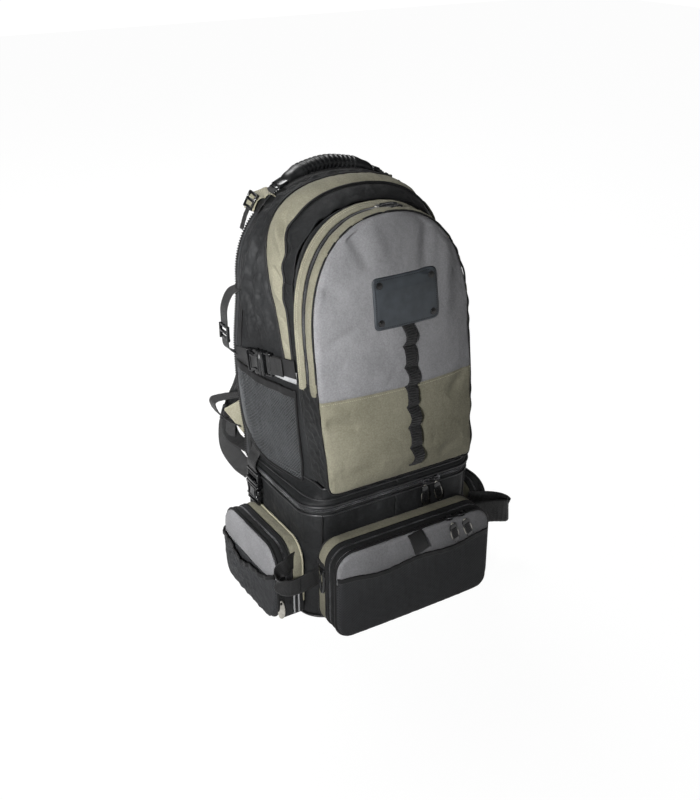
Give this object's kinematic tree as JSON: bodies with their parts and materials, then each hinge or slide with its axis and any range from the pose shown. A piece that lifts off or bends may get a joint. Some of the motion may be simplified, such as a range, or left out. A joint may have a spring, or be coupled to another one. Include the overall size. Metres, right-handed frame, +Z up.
{
  "type": "tackle backpack",
  "caption": "Fishing backpack with a padded pack zipped and buckled onto a hip pack with three zipped pockets, side mesh pockets, carrying handle, harness and belt.",
  "frame": {"origin": "centre of the hip pack's flat base", "axes": "+Z up, -Y towards the front pockets, +Y towards the wearer's back, +X to the right as seen from the front"},
  "size_m": [0.3892, 0.2988, 0.5892],
  "materials": {
    "black_fabric": "coated black pack cloth, woven, matt",
    "olive_fabric": "olive woven pack cloth",
    "grey_fabric": "grey woven pack cloth",
    "mesh": "black stretch mesh",
    "webbing": "black ribbed webbing",
    "plastic": "moulded black plastic, slightly glossy",
    "patch": "dark grey moulded patch",
    "steel": "plated zinc zip pull"
  },
  "bodies": {
    "hip_pack": {"hip_base": "black_fabric", "hip_wall": "black_fabric", "joining_zip": "black_fabric", "front_pocket_gusset": "olive_fabric", "left_pocket_gusset": "olive_fabric", "right_pocket_gusset": "olive_fabric", "left_loop": "webbing", "right_loop": "webbing", "snap_hook": "plastic", "left_joining_socket": "plastic", "right_joining_socket": "plastic"},
    "front_pocket_lid": {"front_pocket_face": "grey_fabric", "front_pocket_mesh": "mesh"},
    "left_pocket_lid": {"left_pocket_face": "grey_fabric", "left_pocket_mesh": "mesh"},
    "right_pocket_lid": {"right_pocket_face": "grey_fabric", "right_pocket_mesh": "mesh"},
    "left_belt": {"left_belt_wing": "black_fabric", "left_belt_buckle": "plastic"},
    "right_belt": {"right_belt_wing": "black_fabric", "right_belt_buckle": "plastic"},
    "pack": {"back_panel": "black_fabric", "main_shell": "black_fabric", "olive_band": "olive_fabric", "front_sill": "black_fabric", "left_mesh_pocket": "mesh", "right_mesh_pocket": "mesh", "left_side_socket": "plastic", "right_side_socket": "plastic", "left_joining_tongue": "plastic", "right_joining_tongue": "plastic", "left_handle_clip": "plastic", "right_handle_clip": "plastic", "left_strap_tail": "webbing", "right_strap_tail": "webbing"},
    "lid": {"lid_band": "black_fabric", "pocket_divider": "black_fabric", "front_gusset": "olive_fabric", "left_side_tongue": "plastic", "right_side_tongue": "plastic"},
    "front_panel": {"olive_panel": "olive_fabric", "grey_panel": "grey_fabric", "blank_patch": "patch", "daisy_chain": "webbing"},
    "handle": {"carry_handle": "plastic"},
    "left_shoulder": {"left_shoulder_strap": "black_fabric"},
    "right_shoulder": {"right_shoulder_strap": "black_fabric"},
    "joining_slider_1_body": {"joining_slider_1": "plastic"},
    "joining_pull_1_body": {"joining_pull_1": "plastic"},
    "joining_slider_2_body": {"joining_slider_2": "plastic"},
    "joining_pull_2_body": {"joining_pull_2": "plastic"},
    "front_pocket_slider_1_body": {"front_pocket_slider_1": "plastic"},
    "front_pocket_pull_1_body": {"front_pocket_pull_1": "plastic"},
    "front_pocket_slider_2_body": {"front_pocket_slider_2": "plastic"},
    "front_pocket_pull_2_body": {"front_pocket_pull_2": "plastic"},
    "left_pocket_pull_body": {"left_pocket_pull": "steel"},
    "right_pocket_pull_body": {"right_pocket_pull": "steel"},
    "top_pull_1_body": {"top_pull_1": "plastic"},
    "top_pull_2_body": {"top_pull_2": "plastic"}
  },
  "joints": [
    {"name": "pack_lift", "type": "slide", "parent": "hip_pack", "child": "pack", "axis": [0, 0, 1], "range_m": [0, 0.15]},
    {"name": "lid_hinge", "type": "hinge", "parent": "pack", "child": "lid", "pos_m": [0, -0.098, 0.205], "axis": [1, 0, 0], "range_deg": [0, 60]},
    {"name": "panel_hinge", "type": "hinge", "parent": "lid", "child": "front_panel", "pos_m": [0, -0.104, 0.207], "axis": [1, 0, 0], "range_deg": [0, 50]},
    {"name": "front_pocket_hinge", "type": "hinge", "parent": "hip_pack", "child": "front_pocket_lid", "pos_m": [0, -0.15, 0.005], "axis": [1, 0, 0], "range_deg": [0, 80]},
    {"name": "left_pocket_hinge", "type": "hinge", "parent": "hip_pack", "child": "left_pocket_lid", "pos_m": [-0.178, 0, 0.007], "axis": [0, -1, 0], "range_deg": [0, 80]},
    {"name": "right_pocket_hinge", "type": "hinge", "parent": "hip_pack", "child": "right_pocket_lid", "pos_m": [0.178, 0, 0.007], "axis": [0, 1, 0], "range_deg": [0, 80]},
    {"name": "left_belt_hinge", "type": "hinge", "parent": "hip_pack", "child": "left_belt", "pos_m": [-0.122, 0.1, 0.096], "axis": [0, 0, 1], "range_deg": [0, 100]},
    {"name": "right_belt_hinge", "type": "hinge", "parent": "hip_pack", "child": "right_belt", "pos_m": [0.122, 0.1, 0.096], "axis": [0, 0, -1], "range_deg": [0, 100]},
    {"name": "left_shoulder_hinge", "type": "hinge", "parent": "pack", "child": "left_shoulder", "pos_m": [-0.046, 0.08, 0.5515], "axis": [1, 0, 0], "range_deg": [0, 30]},
    {"name": "right_shoulder_hinge", "type": "hinge", "parent": "pack", "child": "right_shoulder", "pos_m": [0.046, 0.08, 0.5515], "axis": [1, 0, 0], "range_deg": [0, 30]},
    {"name": "handle_hinge", "type": "hinge", "parent": "pack", "child": "handle", "pos_m": [0, 0.075, 0.563], "axis": [1, 0, 0], "range_deg": [-20, 20]},
    {"name": "joining_slider_1_run", "type": "slide", "parent": "hip_pack", "child": "joining_slider_1_body", "axis": [-1, 0, 0], "range_m": [0, 0.12]},
    {"name": "joining_slider_2_run", "type": "slide", "parent": "hip_pack", "child": "joining_slider_2_body", "axis": [1, 0, 0], "range_m": [0, 0.028]},
    {"name": "joining_pull_1_swing", "type": "hinge", "parent": "joining_slider_1_body", "child": "joining_pull_1_body", "pos_m": [0.044, -0.1038, 0.1706], "axis": [-1, 0, 0], "range_deg": [0, 90]},
    {"name": "joining_pull_2_swing", "type": "hinge", "parent": "joining_slider_2_body", "child": "joining_pull_2_body", "pos_m": [0.062, -0.1038, 0.1706], "axis": [-1, 0, 0], "range_deg": [0, 90]},
    {"name": "front_slider_1_run", "type": "slide", "parent": "front_pocket_lid", "child": "front_pocket_slider_1_body", "axis": [-1, 0, 0], "range_m": [0, 0.12]},
    {"name": "front_slider_2_run", "type": "slide", "parent": "front_pocket_lid", "child": "front_pocket_slider_2_body", "axis": [1, 0, 0], "range_m": [0, 0.016]},
    {"name": "front_pull_1_swing", "type": "hinge", "parent": "front_pocket_slider_1_body", "child": "front_pocket_pull_1_body", "pos_m": [0.054, -0.1534, 0.133], "axis": [-1, 0, 0], "range_deg": [0, 90]},
    {"name": "front_pull_2_swing", "type": "hinge", "parent": "front_pocket_slider_2_body", "child": "front_pocket_pull_2_body", "pos_m": [0.074, -0.1534, 0.133], "axis": [-1, 0, 0], "range_deg": [0, 90]},
    {"name": "left_pull_swing", "type": "hinge", "parent": "hip_pack", "child": "left_pocket_pull_body", "pos_m": [-0.168, -0.0784, 0.042], "axis": [-1, 0, 0], "range_deg": [0, 90]},
    {"name": "right_pull_swing", "type": "hinge", "parent": "hip_pack", "child": "right_pocket_pull_body", "pos_m": [0.168, -0.0784, 0.042], "axis": [-1, 0, 0], "range_deg": [0, 90]},
    {"name": "top_pull_1_lift", "type": "hinge", "parent": "lid", "child": "top_pull_1_body", "pos_m": [-0.004, -0.044, 0.5494], "axis": [0, -1, 0], "range_deg": [0, 110]},
    {"name": "top_pull_2_lift", "type": "hinge", "parent": "lid", "child": "top_pull_2_body", "pos_m": [-0.004, -0.055, 0.5494], "axis": [0, -1, 0], "range_deg": [0, 110]}
  ]
}
